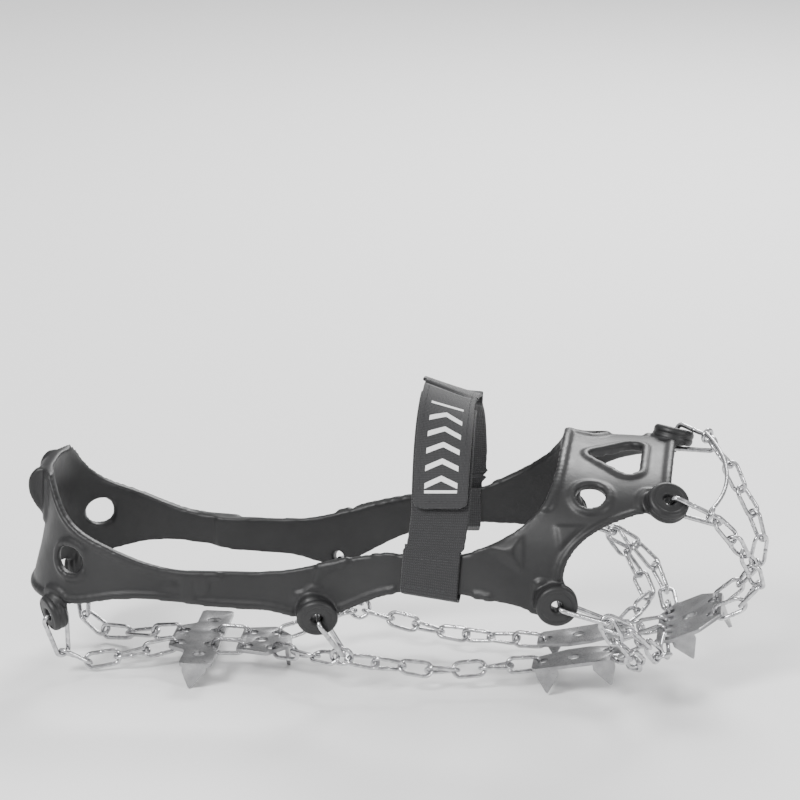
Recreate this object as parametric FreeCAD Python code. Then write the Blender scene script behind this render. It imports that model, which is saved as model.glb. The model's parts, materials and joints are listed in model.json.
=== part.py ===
import FreeCAD, Part
import math
import os

V = FreeCAD.Vector

# Microspikes as they sit on a right hiking boot.  Millimetres.  While it is being built,
# X runs from the back of the heel to the toe, Y to the big-toe side, and Z up from the
# lowest spike tips.  The last step moves the middle of the whole model over the origin.

# ---------------------------------------------------------------- driving dimensions
SOLE_HEIGHT = 11.6          # flat of the sole above the ground, carried by the spikes
TOE_SPRING_START = 195.0    # the sole starts to rise here
TOE_SPRING_LENGTH = 110.0
TOE_SPRING_RISE = 33.0

HARNESS_WALL = 3.2          # elastomer band and bridge
LUG_RADIUS = 8.6            # thick eyelet at each chain anchor
LUG_THICKNESS = 6.4
LUG_ROUND = 1.6
LUG_HOLE = 2.5              # radius
LUG_STANDOFF = 4.6          # middle of the lug, out from the boot
NECK_SET_IN = 2.0           # the neck behind a lug is narrower by this much
NECK_SHIFT = 3.0            # and lies toward the band by this much
BRIDGE_HOLE = 6.2           # radius of the round openings of the toe bridge
HEEL_HOLE = 6.2             # radius of the openings at the heel

EYELET_WIRE = 1.05          # radius of the tapered link's wire
EYELET_LENGTH = 21.9        # wire centre to wire centre
EYELET_BAR_HALF = 5.5       # half the wide end
EYELET_TIP_RADIUS = 2.75    # bend at the narrow end
EYELET_CORNER = 2.2
LEG_SLOT_HALF = 2.1         # half the slot behind a lug for the inner leg
EYELET_REST = 1.2           # how far the wide end hangs below the hole's centre
EYELET_PLAY = 0.75           # between the narrow end and what hangs in it
EYELET_REACH = EYELET_REST + EYELET_LENGTH - EYELET_WIRE - EYELET_PLAY

LINK_WIRE = 0.9             # radius of a small link's wire
LINK_BEND = 3.1             # radius of its two ends
LINK_SLACK = 0.5            # play where two links meet

BAIL_WIRE = 0.9
BAIL_RING = 2.55            # radius of its end rings
BAIL_AT = 16.6              # along the front tapered links from their wide end
BAIL_BOW = 7.5

PLATE = 1.6                 # spike plates
SPIKE_DROP = 10.8           # from the plate's middle to the tip
PLATE_HOLE = 2.5            # radius of a chain hole
HOLE_PLAY = 0.3             # a taut link stays this far off the hole's wall
PLATE_RIM = 1.7             # metal left between a chain hole and the edge
RIM = PLATE_HOLE + PLATE_RIM    # a chain hole's centre from the plate's edge
PLATE_CORNER = 2.2
SPIKE_SHOULDER = 3.0        # the tooth keeps its full width down to here
SPIKE_TIP = 0.7             # half the blunt end's width
SOLE_GAP = 0.2              # between a plate and the sole

RING_BEND = 4.4             # radius of the round rings at the middle

WEBBING = 1.5
CLOTH_GAP = 0.3             # between webbing and what it lies on
STRAP_X = 177.0             # middle of the instep strap
STRAP_HALF_WIDTH = 12.5
STRAP_SLANT = 4.5           # its lower end is this much further back
STRAIGHT_FROM = 88.0        # height where the slant ends
FOLD_HEIGHTS = (48.3, 50.7)  # the fold round the band's lower edge, back and front
INSIDE_LAYER = 22.0         # height of the layer inside the band
HINGE_HEIGHT = 76.0         # the left webbing swings from here
HINGE_GAP = 0.8
RIDGE_Y = -1.0              # top of the instep, where the hook tab starts to peel
RIDGE_GAP = 2.6
TAB_HALF_WIDTH = 11.5
TAB_THICKNESS = 2.6
TAB_CORNER = 3.0
TAB_END = 89.0              # height of the hook tab's free end
TAB_GAP = 0.4
TAB_SEWN_TO = 17.0          # the tab is sewn to the webbing from the ridge to here
WEB_LOW = HARNESS_WALL + CLOTH_GAP
WEB_HIGH = WEB_LOW + WEBBING
TAB_LOW = WEB_HIGH + 0.7
TAB_HIGH = TAB_LOW + TAB_THICKNESS

SIDE_REACH = 90.0           # beyond the model on either side
ABOVE_ALL = 145.0           # above the model

# The boot's outside, station by station: half widths on the two sides, the crown,
# the height where the side starts to curve in, how square the section is, its lean.
STATIONS = [0, 30, 60, 90, 120, 150, 180, 205, 230, 255, 275, 292]
RIGHT_HALF = [34, 34.5, 35, 34, 33.5, 37, 44, 49, 51, 49, 43, 31]
LEFT_HALF = [34, 34.5, 34, 31, 30, 33, 40, 45, 49, 49, 44, 33]
CROWN = [170, 170, 165, 160, 145, 128, 118.5, 108.0, 100.5, 98.5, 98.0, 90]
SHOULDER = [40, 38, 37, 38, 39, 42, 45, 45, 46, 48, 52, 56]
SQUARENESS = [2.2, 2.2, 2.2, 2.1, 2.0, 2.0, 2.1, 2.4, 2.8, 3.0, 3.0, 2.8]
LEAN = [0, 0, 0, 0, 0, 0, 0.02, 0.06, 0.08, 0.09, 0.09, 0.09]

HEEL_DEPTH = 48.0           # the heel rounds off over this length
HEEL_POWER = 2.5
# height, and how far forward the boot's back lies there
HEEL_BACK = [(24.0, 1.8), (40.0, 0.0), (53.0, 3.2), (66.0, 5.8), (98.0, 9.0)]

# Side outline of the harness, (x, z).
BAND_TOP = [(9.0, 90.0), (12.0, 83.5), (16.0, 76.5), (22.5, 70.5), (34.0, 65.2), (48.0, 59.5),
            (64.0, 55.6), (90.0, 55.6), (110.0, 56.6), (135.0, 63.0), (160.0, 67.8),
            (186.0, 70.6), (200.0, 76.0), (212.0, 83.5), (219.5, 91.0), (223.0, 99.0),
            (224.0, 112.0), (224.0, 124.0)]
BAND_BOTTOM = [(-12.0, 38.0), (8.0, 36.5), (24.0, 38.0), (36.0, 41.0), (60.0, 42.2),
               (88.0, 39.8), (106.0, 38.8), (122.0, 36.0), (136.0, 40.8), (151.0, 48.6),
               (162.0, 51.8), (184.0, 53.9), (196.0, 53.0), (211.0, 51.2), (222.0, 46.5)]
ARCH_FRONT = [(233.5, 49.0), (233.0, 56.5), (229.2, 63.0), (229.6, 69.5), (233.0, 75.8),
              (241.0, 82.4), (252.0, 87.0), (263.0, 89.4), (271.0, 90.5)]
BRIDGE_REAR = 224.0
BRIDGE_FRONT = 271.0
TAB_PROFILE = [(6.0, 67.5), (2.0, 72.5), (-1.6, 79.5), (-1.4, 85.0), (2.0, 89.2), (9.0, 90.0)]
TAB_HALF_LENGTH = 13.0      # the pull tab at the heel, across the boot


def along(values, x):
    """Smooth value at x of a quantity given at the boot's stations."""
    x = min(max(x, STATIONS[0]), STATIONS[-1])
    i = 0
    while i < len(STATIONS) - 2 and x > STATIONS[i + 1]:
        i += 1

    def slope(k):
        a = max(k - 1, 0)
        b = min(k + 1, len(STATIONS) - 1)
        return (values[b] - values[a]) / (STATIONS[b] - STATIONS[a])

    step = STATIONS[i + 1] - STATIONS[i]
    t = (x - STATIONS[i]) / step
    return ((2 * t**3 - 3 * t**2 + 1) * values[i] + (t**3 - 2 * t**2 + t) * step * slope(i)
            + (3 * t**2 - 2 * t**3) * values[i + 1] + (t**3 - t**2) * step * slope(i + 1))


def sole_height(x):
    """Height of the sole's underside along the boot."""
    t = max(0.0, (x - TOE_SPRING_START) / TOE_SPRING_LENGTH)
    return SOLE_HEIGHT + TOE_SPRING_RISE * t * t


def sole_pitch(x):
    """Slope of the sole's underside, in degrees, toe up."""
    t = max(0.0, (x - TOE_SPRING_START) / TOE_SPRING_LENGTH)
    return math.degrees(math.atan(2 * TOE_SPRING_RISE * t / TOE_SPRING_LENGTH))


# ---------------------------------------------------------------- small shape helpers
def spline(points):
    curve = Part.BSplineCurve()
    curve.interpolate(points)
    return curve.toShape()


def lines(points):
    return [Part.makeLine(a, b) for a, b in zip(points, points[1:])]


def arch_point(x, offset, turn):
    """A point of the boot's section, offset outward.  turn runs 0 to pi, right to left."""
    c = -math.cos(turn)
    half = along(RIGHT_HALF if c < 0 else LEFT_HALF, x) + offset
    power = 2.0 / along(SQUARENESS, x)
    y = math.copysign(abs(c) ** power, c) * half
    shoulder = along(SHOULDER, x)
    rise = along(CROWN, x) - shoulder + offset
    z = shoulder + rise * max(math.sin(turn), 0.0) ** power + along(LEAN, x) * y
    return V(x, y, z)


def section(x, offset, floor, turns=28):
    """Closed section of the boot at x, offset outward, down to the height floor."""
    arch = [arch_point(x, offset, math.pi * i / turns) for i in range(turns + 1)]
    right = arch[0]
    left = arch[-1]
    low_left = V(x, left.y, floor)
    low_right = V(x, right.y, floor)
    return Part.Wire([spline(arch)] + lines([left, low_left, low_right, right]))


def tunnel(offset, x_from, x_to, floor=20.0):
    """The boot from x_from to x_to as a solid, offset outward."""
    inner = [x for x in STATIONS if x_from + 4 < x < x_to - 4]
    return Part.makeLoft([section(x, offset, floor) for x in [x_from] + inner + [x_to]], True)


def heel_wire(offset, z, forward, reach):
    """Plan outline of the heel at the height z, open side closed at x = reach."""
    steps = 24
    power = 2.0 / HEEL_POWER
    points = []
    for i in range(steps + 1):
        t = -math.pi / 2 + math.pi * i / steps
        x = HEEL_DEPTH - max(math.cos(t), 0.0) ** power * (HEEL_DEPTH + offset)
        half = along(RIGHT_HALF if t < 0 else LEFT_HALF, max(x, 0.0)) + offset
        y = math.copysign(abs(math.sin(t)) ** power, t) * half
        points.append(V(x + forward * (1 - max(x, 0.0) / HEEL_DEPTH), y, z))
    right_end = V(reach, -(along(RIGHT_HALF, reach) + offset), z)
    left_end = V(reach, along(LEFT_HALF, reach) + offset, z)
    return Part.Wire([spline(points)] + lines([points[-1], left_end, right_end, points[0]]))


def heel(offset, reach):
    return Part.makeLoft([heel_wire(offset, z, forward, reach) for z, forward in HEEL_BACK], True)


def at_side(points):
    """Points (x, z) of a side outline, out to the right of the boot."""
    return [V(x, -SIDE_REACH, z) for x, z in points]


def wire_path(corners, radii):
    """Closed flat path through the corners, each rounded by its radius."""
    edges = []
    count = len(corners)
    starts = []
    ends = []
    middles = []
    for i in range(count):
        before = (corners[i - 1] - corners[i]).normalize()
        after = (corners[(i + 1) % count] - corners[i]).normalize()
        half = before.getAngle(after) / 2
        back = radii[i] / math.tan(half)
        starts.append(corners[i] + before * back)
        ends.append(corners[i] + after * back)
        toward = (before + after).normalize()
        middles.append(corners[i] + toward * (radii[i] / math.sin(half) - radii[i]))
    for i in range(count):
        edges.append(Part.Arc(starts[i], middles[i], ends[i]).toShape())
        following = starts[(i + 1) % count]
        if (following - ends[i]).Length > 1e-4:
            edges.append(Part.makeLine(ends[i], following))
    return edges


def bent_wire(edges, radius, closed=True):
    """Round wire bent along the edges."""
    path = Part.Wire(edges)
    start = edges[0].valueAt(edges[0].FirstParameter)
    direction = edges[0].tangentAt(edges[0].FirstParameter)
    profile = Part.Wire(Part.makeCircle(radius, start, direction))
    solid = path.makePipeShell([profile], True, False)
    if closed and not solid.isClosed():
        raise ValueError("open wire loop")
    return solid


def frame(origin, along_axis, width_axis):
    """Placement that takes local X, Y to the two given directions."""
    x = V(along_axis).normalize()
    y = (width_axis - x * width_axis.dot(x)).normalize()
    z = x.cross(y)
    matrix = FreeCAD.Matrix(x.x, y.x, z.x, origin.x, x.y, y.y, z.y, origin.y,
                            x.z, y.z, z.z, origin.z, 0, 0, 0, 1)
    return FreeCAD.Placement(matrix)


# ---------------------------------------------------------------- links
def eyelet_link():
    """Tapered link: wide bar at x = 0 across Y, narrow bend at x = EYELET_LENGTH."""
    run = EYELET_LENGTH - EYELET_TIP_RADIUS
    taper = math.asin((EYELET_BAR_HALF - EYELET_TIP_RADIUS) / run)
    tip_y = EYELET_TIP_RADIUS / math.cos(taper)
    touch = V(run + EYELET_TIP_RADIUS * math.sin(taper), EYELET_TIP_RADIUS * math.cos(taper), 0)
    corner = V(0, tip_y + run * math.tan(taper), 0)
    leg = (touch - corner).normalize()
    half = leg.getAngle(V(0, -1, 0)) / 2
    back = EYELET_CORNER / math.tan(half)
    inward = (leg + V(0, -1, 0)).normalize()
    arc_a = corner + V(0, -1, 0) * back
    arc_m = corner + inward * (EYELET_CORNER / math.sin(half) - EYELET_CORNER)
    arc_b = corner + leg * back

    def flip(p):
        return V(p.x, -p.y, p.z)

    edges = [Part.makeLine(flip(arc_a), arc_a),
             Part.Arc(arc_a, arc_m, arc_b).toShape(),
             Part.makeLine(arc_b, touch),
             Part.Arc(touch, V(EYELET_LENGTH, 0, 0), flip(touch)).toShape(),
             Part.makeLine(flip(touch), flip(arc_b)),
             Part.Arc(flip(arc_b), flip(arc_m), flip(arc_a)).toShape()]
    return bent_wire(edges, EYELET_WIRE)


def small_link(pitch):
    """Oblong link along X that bears on its neighbours a pitch apart."""
    length = pitch + 2 * LINK_WIRE + LINK_SLACK
    straight = length / 2 - LINK_BEND
    a = V(-straight, LINK_BEND, 0)
    b = V(straight, LINK_BEND, 0)
    c = V(straight, -LINK_BEND, 0)
    d = V(-straight, -LINK_BEND, 0)
    edges = [Part.makeLine(a, b),
             Part.Arc(b, V(length / 2, 0, 0), c).toShape(),
             Part.makeLine(c, d),
             Part.Arc(d, V(-length / 2, 0, 0), a).toShape()]
    return bent_wire(edges, LINK_WIRE)


def even_contacts(route, count):
    """Contacts a pitch apart along a route, which is stretched or cut to fit the last one."""
    samples = Part.Wire(lines(route)).discretize(600)

    def walk(pitch):
        """Contacts from the start, as many as the route has room for."""
        spots = [route[0]]
        for sample in samples:
            if len(spots) <= count and (sample - spots[-1]).Length >= pitch:
                spots.append(sample)
        return spots

    low = 5.0
    high = 20.0
    for _ in range(40):
        middle = (low + high) / 2
        if len(walk(middle)) <= count:
            high = middle
        else:
            low = middle
    spots = walk(low)
    spots[-1] = route[-1]
    return spots, low


def link_turns(contacts, first_width, last_width):
    """Width direction of each link, turned close to a right angle from one to the next."""
    count = len(contacts) - 1
    axes = [(contacts[i + 1] - contacts[i]).normalize() for i in range(count)]
    carried = [(first_width - axes[0] * first_width.dot(axes[0])).normalize()]
    for axis in axes[1:]:
        w = carried[-1]
        carried.append((w - axis * w.dot(axis)).normalize())
    if count == 1:
        return carried
    goal = (last_width - axes[-1] * last_width.dot(axes[-1])).normalize()
    away = math.degrees(math.atan2(carried[-1].cross(goal).dot(axes[-1]), carried[-1].dot(goal)))
    best = min((abs((away + 180 * k) / (count - 1) - 90), (away + 180 * k) / (count - 1))
               for k in range(-3, count + 3))[1]
    widths = []
    for i, (axis, w) in enumerate(zip(axes, carried)):
        turn = math.radians(best * i)
        widths.append(w * math.cos(turn) + axis.cross(w) * math.sin(turn))
    return widths


# ---------------------------------------------------------------- plates and spikes
def spike(width, drop, lean):
    """Pointed tooth in the local XZ plane, base centred on the origin, tip shifted by lean."""
    top = PLATE / 2
    points = [V(-width / 2, 0, top), V(-width / 2, 0, -SPIKE_SHOULDER),
              V(lean - SPIKE_TIP, 0, SPIKE_TIP - drop), V(lean, 0, -drop), V(lean + SPIKE_TIP, 0, SPIKE_TIP - drop),
              V(width / 2, 0, -SPIKE_SHOULDER), V(width / 2, 0, top)]
    face = Part.Face(Part.Wire(lines(points + points[:1])))
    solid = face.extrude(V(0, PLATE, 0))
    solid.translate(V(0, -PLATE / 2, 0))
    return solid


class SpikePlate:
    """A flat plate with folded spikes and chain holes, laid under the sole at (x, y).

    A spike is (x, y, turn, width, lean), a chain hole (x, y, the way its link pulls) and
    a round hole (x, y, radius), all in the plate's own plane.
    """

    def __init__(self, x, y, outline, corner, spikes, chain_holes, round_holes):
        origin = V(x, y, sole_height(x) - PLATE / 2 - SOLE_GAP)
        self.place = FreeCAD.Placement(origin, FreeCAD.Rotation(V(0, 1, 0), -sole_pitch(x)))
        corners = [V(px, py, 0) for px, py in outline]
        face = Part.Face(Part.Wire(wire_path(corners, [corner] * len(corners))))
        solid = face.extrude(V(0, 0, PLATE))
        solid.translate(V(0, 0, -PLATE / 2))
        for sx, sy, turn, width, lean in spikes:
            tooth = spike(width, SPIKE_DROP, lean)
            tooth.rotate(V(0, 0, 0), V(0, 0, 1), turn)
            tooth.translate(V(sx, sy, 0))
            solid = solid.fuse(tooth)
        holes = [(hx, hy, PLATE_HOLE) for hx, hy, _ in chain_holes] + round_holes
        for hx, hy, radius in holes:
            solid = solid.cut(Part.makeCylinder(radius, 4, V(hx, hy, -2)))
        self.solid = solid.removeSplitter()
        self.solid.Placement = self.place
        self.holes = chain_holes

    def hole_contact(self, index):
        """Where a taut link bears in a chain hole."""
        hx, hy, turn = self.holes[index]
        pull = V(math.cos(math.radians(turn)), math.sin(math.radians(turn)), 0)
        return self.place.multVec(V(hx, hy, 0) + pull * (PLATE_HOLE - HOLE_PLAY))

    def normal(self):
        return self.place.Rotation.multVec(V(0, 0, 1))


def build_plates():
    plates = {}
    plates["heel_rear_plate"] = SpikePlate(
        71, 0,
        [(-15, -11.5), (-7, -16), (-7, -31.5), (7, -31.5), (7, 31.5), (-7, 31.5), (-7, 16), (-15, 11.5)],
        PLATE_CORNER,
        [(-0.5, -30.7, 0, 10.5, -2.0), (-0.5, 30.7, 0, 10.5, -2.0)],
        [(-15 + RIM, -7, 208), (-15 + RIM, 7, 152), (7 - RIM, -8, 0), (7 - RIM, 8, 0)],
        [(0, -20, 2.8), (0, 20, 2.8)])
    plates["heel_front_plate"] = SpikePlate(
        96.6, 0,
        [(-11, -12.5), (3, -15.5), (11, -6), (11, 6), (3, 15.5), (-11, 12.5)], PLATE_CORNER,
        [(10.2, 0, 90, 10.0, 0.0)],
        [(-11 + RIM, -8, 180), (-11 + RIM, 8, 180), (4.2, -8.4, -38), (4.2, 8.4, 38)],
        [(-1.5, 0, 2.5)])
    for side, name in ((-1, "right"), (1, "left")):
        plates["ball_plate_" + name] = SpikePlate(
            231.5, side * 12.5,
            [(-18, 8.8 * side), (-18, -4.5 * side), (-4, -8.8 * side), (6, -8.8 * side),
             (19, -5 * side), (22, 0), (22, 10.5 * side)], PLATE_CORNER,
            [(-11.5, side * 8.6, 0, 9.5, -1.5), (13.0, side * 9.6, 0, 9.5, 1.5)],
            [(-18 + RIM, 0.5 * side, 180), (19 - RIM, -1.5 * side, 0), (17.6, 5.2 * side, 57 * side)],
            [(0, 1.0 * side, 2.6)])
    plates["toe_plate"] = SpikePlate(
        279.5, 0,
        [(-14.5, -14.5), (-8, -21), (5, -21), (15, -12.5), (15, 12.5), (5, 21), (-8, 21), (-14.5, 14.5)],
        PLATE_CORNER,
        [(-2.5, -20.2, 0, 10.0, 0.5), (-2.5, 20.2, 0, 10.0, 0.5), (14.2, 0, 90, 10.0, 0.0)],
        [(-9.6, -13.4, 255), (-9.6, 13.4, 105), (-14 + RIM, -5.0, 180), (-14 + RIM, 5.0, 180),
         (15 - RIM, -8.2, 0), (15 - RIM, 8.2, 0)],
        [(0, 0, 3.2)])
    return plates


# ---------------------------------------------------------------- chain anchors
class Anchor:
    """A lug, its tapered link and the contact that the chain pulls on."""

    def __init__(self, hole, outward, contact, radius=LUG_RADIUS):
        self.hole = hole
        self.pull = (contact - hole).normalize()
        self.contact = hole + self.pull * EYELET_REACH
        self.outward = (outward - self.pull * outward.dot(self.pull)).normalize()
        self.radius = radius

    def lug(self):
        base = self.hole - self.outward * LUG_THICKNESS / 2
        disc = Part.makeCylinder(self.radius, LUG_THICKNESS, base, self.outward)
        rims = [e for e in disc.Edges if isinstance(e.Curve, Part.Circle)]
        disc = disc.makeFillet(LUG_ROUND, rims)
        # the neck ties the lug back into the band behind it
        foot = self.hole - self.outward * LUG_STANDOFF - self.pull * NECK_SHIFT
        neck = Part.makeCylinder(self.radius - NECK_SET_IN, LUG_STANDOFF, foot, self.outward)
        return [disc, neck]

    def leg_slot(self):
        """Room behind the lug for the link's inner leg."""
        deep = 12.0
        corner = V(-EYELET_WIRE - 1.35, -deep - LUG_THICKNESS / 2, -LEG_SLOT_HALF)
        slot = Part.makeBox(EYELET_LENGTH, deep, 2 * LEG_SLOT_HALF, corner)
        slot.Placement = frame(self.hole, self.pull, self.outward).multiply(slot.Placement)
        return slot

    def hook_width(self, route):
        """Width direction of a small link that hooks round the tapered link's tip."""
        return (route[1] - route[0]).cross(self.outward)

    def link(self):
        solid = eyelet_link()
        solid.Placement = frame(self.hole + self.pull * EYELET_REST, self.pull, self.outward)
        return solid


def build_anchors():
    """Rear, middle, fore and front lugs on the right and left sides."""
    return {
        "rear_right": Anchor(V(10.2, -28.5, 31.2), V(-0.73, -0.63, 0.19), V(12.2, -22.5, 10.5), 7.8),
        "rear_left": Anchor(V(10.2, 28.5, 31.2), V(-0.73, 0.63, 0.19), V(12.2, 22.5, 10.5), 7.8),
        "middle_right": Anchor(V(124.9, -38.2, 38.4), V(0, -1, 0), V(134.5, -31.3, 19.8)),
        "middle_left": Anchor(V(124.9, 34.9, 38.4), V(0, 1, 0), V(134.5, 28.3, 19.8)),
        "fore_right": Anchor(V(226.6, -55.3, 54.4), V(0, -1, 0.05), V(247.0, -52.2, 46.7)),
        "fore_left": Anchor(V(223.0, 53.2, 57.0), V(0, 1, 0.05), V(243.5, 50.4, 49.0)),
        "front_right": Anchor(V(270.3, -34.9, 93.3), V(0, -0.55, 0.83), V(290.8, -35.0, 86.2)),
        "front_left": Anchor(V(269.5, 28.5, 101.8), V(0, 0.45, 0.89), V(286.8, 15.4, 102.5)),
    }


# ---------------------------------------------------------------- harness
def drilled(point, axis, radius):
    """Cutter for a round hole through the point along the axis."""
    reach = 20.0
    direction = V(axis).normalize()
    return Part.makeCylinder(radius, 2 * reach, point - direction * reach, direction)


def harness_outline():
    """Everything inside the harness's side outline, as one prism across the boot."""
    top = at_side(BAND_TOP)
    bottom = at_side(BAND_BOTTOM)
    bridge = [bottom[-1]] + at_side(ARCH_FRONT)
    roof = [bridge[-1]] + at_side([(BRIDGE_FRONT, ABOVE_ALL), (BRIDGE_REAR, ABOVE_ALL)]) + [top[-1]]
    back = [top[0], V(-20, -SIDE_REACH, top[0].z), bottom[0]]
    edges = [spline(bottom), spline(bridge)] + lines(roof) + [spline(top)] + lines(back)
    return Part.Face(Part.Wire(edges)).extrude(V(0, 2 * SIDE_REACH, 0))


def pull_tab():
    """Lip at the top of the heel that bulges backward."""
    curve = [V(x, -TAB_HALF_LENGTH, z) for x, z in TAB_PROFILE]
    inside = V(TAB_PROFILE[-1][0], -TAB_HALF_LENGTH, TAB_PROFILE[0][1])
    outline = [spline(curve)] + lines([curve[-1], inside, curve[0]])
    lip = Part.Face(Part.Wire(outline)).extrude(V(0, 2 * TAB_HALF_LENGTH, 0))
    return lip.cut(heel(0.0, 80.0))


def build_harness(anchors):
    heel_part = heel(HARNESS_WALL, 76.0).cut(heel(0.0, 80.0))
    front_part = tunnel(HARNESS_WALL, 70.0, 276.0).cut(tunnel(0.0, 66.0, 280.0, 10.0))
    body = heel_part.fuse(front_part).common(harness_outline())
    # toe bridge: a three-cornered opening in the middle, a round one each side
    corners = [V(233.5, -3.2, 60), V(257.5, 17.0, 60), V(257.5, -23.5, 60)]
    opening = Part.Face(Part.Wire(wire_path(corners, [4.0, 4.5, 4.5]))).extrude(V(0, 0, 80))
    body = body.cut([opening,
                     drilled(V(238.5, -33.4, 94.4), V(0, -0.51, 0.86), BRIDGE_HOLE),
                     drilled(V(233.5, 27.0, 102.0), V(0, 0.35, 0.94), BRIDGE_HOLE),
                     Part.makeCylinder(HEEL_HOLE, 2 * SIDE_REACH, V(19.4, -SIDE_REACH, 56.4), V(0, 1, 0))])
    for anchor in anchors.values():
        body = body.fuse(anchor.lug())
    body = body.fuse(pull_tab())
    for anchor in anchors.values():
        body = body.cut([drilled(anchor.hole, anchor.outward, LUG_HOLE), anchor.leg_slot()])
    return body.removeSplitter()


# ---------------------------------------------------------------- strap
def strip(low, high, polygon, y_from, y_to):
    """A curved strip of the boot's surface between two offsets, cut to a side outline."""
    shell = tunnel(high, 150.0, 204.0).cut(tunnel(low, 146.0, 208.0, 10.0))
    outline = [V(x, y_from, z) for x, z in polygon]
    face = Part.Face(Part.Wire(lines(outline + outline[:1])))
    return shell.common(face.extrude(V(0, y_to - y_from, 0)))


def wrap(y_from, y_to, x_back, x_front, top):
    """Webbing doubled round the band's lower edge: outside layer, inside layer and fold."""
    back, front = FOLD_HEIGHTS
    fold = [(x_back, back), (x_front, front), (x_front, front + WEBBING), (x_back, back + WEBBING)]
    inside = [(x_back, back + 0.5), (x_front, front + 0.5),
              (x_front, front + INSIDE_LAYER), (x_back, back + INSIDE_LAYER)]
    outside = [(x_back, back), (x_front, front)] + top
    solid = strip(WEB_LOW, WEB_HIGH, outside, y_from, y_to)
    solid = solid.fuse(strip(-WEBBING - CLOTH_GAP, -CLOTH_GAP, inside, y_from, y_to))
    return solid.fuse(strip(-WEBBING - CLOTH_GAP, WEB_HIGH, fold, y_from, y_to)).removeSplitter()


def build_strap():
    back = STRAP_X - STRAP_HALF_WIDTH
    front = STRAP_X + STRAP_HALF_WIDTH
    low_back = back - STRAP_SLANT
    low_front = front - STRAP_SLANT
    right = wrap(-SIDE_REACH, RIDGE_Y - RIDGE_GAP, low_back, low_front,
                [(front, STRAIGHT_FROM), (front, ABOVE_ALL), (back, ABOVE_ALL), (back, STRAIGHT_FROM)])
    loop = wrap(0, SIDE_REACH, low_back, low_front,
                [(front - 1, HINGE_HEIGHT - HINGE_GAP), (back - 1, HINGE_HEIGHT - HINGE_GAP)])
    left = strip(WEB_LOW, WEB_HIGH, [(back - 1, HINGE_HEIGHT), (front - 1, HINGE_HEIGHT),
                                    (front, ABOVE_ALL), (back, ABOVE_ALL)], RIDGE_Y, SIDE_REACH)
    tab_back = STRAP_X - TAB_HALF_WIDTH
    tab_front = STRAP_X + TAB_HALF_WIDTH
    sewn = strip(WEB_HIGH - 0.1, TAB_HIGH, [(tab_back, 95), (tab_front, 95), (tab_front, ABOVE_ALL),
                                            (tab_back, ABOVE_ALL)], RIDGE_Y, TAB_SEWN_TO)
    tab = strip(TAB_LOW, TAB_HIGH, [(tab_back + TAB_CORNER, TAB_END), (tab_front - TAB_CORNER, TAB_END),
                                    (tab_front, TAB_END + TAB_CORNER), (tab_front, ABOVE_ALL),
                                    (tab_back, ABOVE_ALL), (tab_back, TAB_END + TAB_CORNER)],
                -SIDE_REACH, RIDGE_Y - TAB_GAP)
    return {"strap_right_webbing": right, "strap_left_loop": loop,
            "strap_left_webbing": left.fuse(sewn).removeSplitter(), "strap_hook_tab": tab}


# ---------------------------------------------------------------- toe bail
def build_bail(anchors):
    """Thin bowed wire whose end rings sit round the outer legs of the front tapered links."""
    run = EYELET_LENGTH - EYELET_TIP_RADIUS
    taper = math.asin((EYELET_BAR_HALF - EYELET_TIP_RADIUS) / run)
    leg_height = EYELET_TIP_RADIUS / math.cos(taper) + (run - BAIL_AT) * math.tan(taper)
    centres = []
    legs = []
    for name in ("front_right", "front_left"):
        anchor = anchors[name]
        place = frame(anchor.hole + anchor.pull * EYELET_REST, anchor.pull, anchor.outward)
        centres.append(place.multVec(V(BAIL_AT, leg_height, 0)))
        legs.append(place.Rotation.multVec(V(math.cos(taper), -math.sin(taper), 0)))
    rings = [Part.makeTorus(BAIL_RING, BAIL_WIRE, centre, leg) for centre, leg in zip(centres, legs)]
    span = (centres[1] - centres[0]).normalize()
    ends = []
    for centre, leg, inward in zip(centres, legs, (span, -span)):
        toward = inward + V(0, 0, 1)
        ends.append(centre + (toward - leg * toward.dot(leg)).normalize() * BAIL_RING)
    middle = (ends[0] + ends[1]) / 2 + V(BAIL_BOW, 0, -1.0)
    arc = Part.Arc(ends[0], middle, ends[1]).toShape()
    rod = bent_wire([arc], BAIL_WIRE, closed=False)
    return rod.fuse(rings).removeSplitter()


# ---------------------------------------------------------------- chains
class Strand:
    """A run of small links between two contacts."""

    def __init__(self, route, count, first_width, last_width, grouped=False):
        self.contacts, self.pitch = even_contacts(route, count)
        self.widths = link_turns(self.contacts, first_width, last_width)
        self.grouped = grouped

    def links(self):
        solids = []
        for a, b, width in zip(self.contacts, self.contacts[1:], self.widths):
            solid = small_link((b - a).Length)
            solid.Placement = frame((a + b) / 2, b - a, width)
            solids.append(solid)
        return solids


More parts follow.
